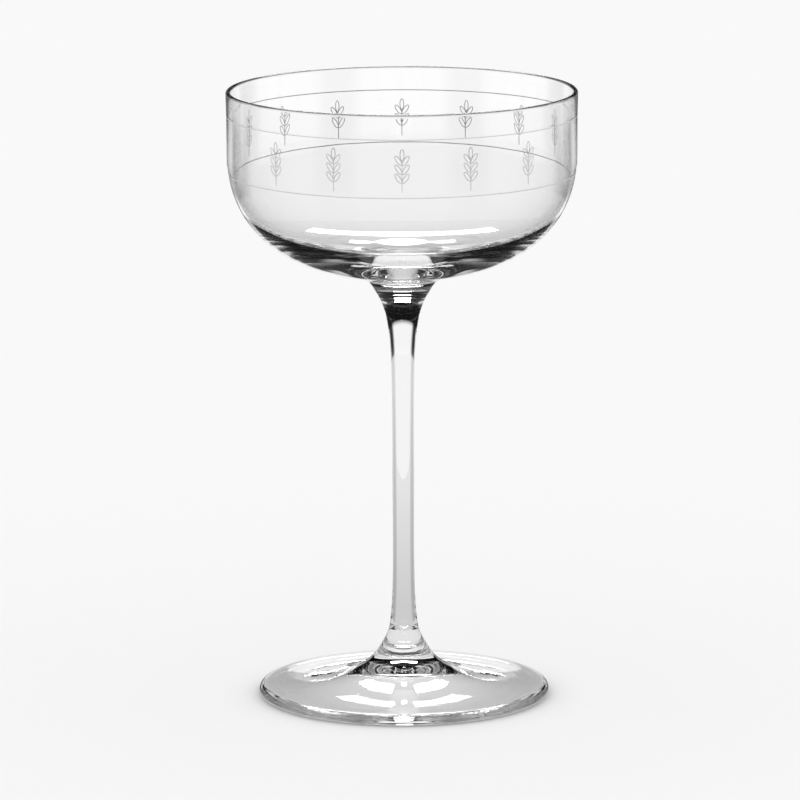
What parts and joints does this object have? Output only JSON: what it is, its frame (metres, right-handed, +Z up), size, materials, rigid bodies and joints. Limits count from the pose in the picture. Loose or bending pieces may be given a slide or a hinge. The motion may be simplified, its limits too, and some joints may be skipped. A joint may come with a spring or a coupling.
{
  "type": "champagne coupe",
  "caption": "Clear glass champagne coupe with a wide shallow bowl, a slim flared stem and a round foot with a raised cone, for serving sparkling wine.",
  "frame": {"origin": "centre of the foot on the table that the coupe stands on", "axes": "+Z up along the stem, the axis that every piece is turned about; +Y away from the viewer, +X to the right"},
  "size_m": [0.096, 0.096, 0.1685],
  "materials": {
    "bowl_glass": "clear, fire-polished",
    "stem_glass": "clear, fire-polished",
    "foot_glass": "clear, fire-polished"
  },
  "bodies": {
    "root": {"bowl": "bowl_glass", "stem": "stem_glass", "foot": "foot_glass"}
  },
  "joints": []
}
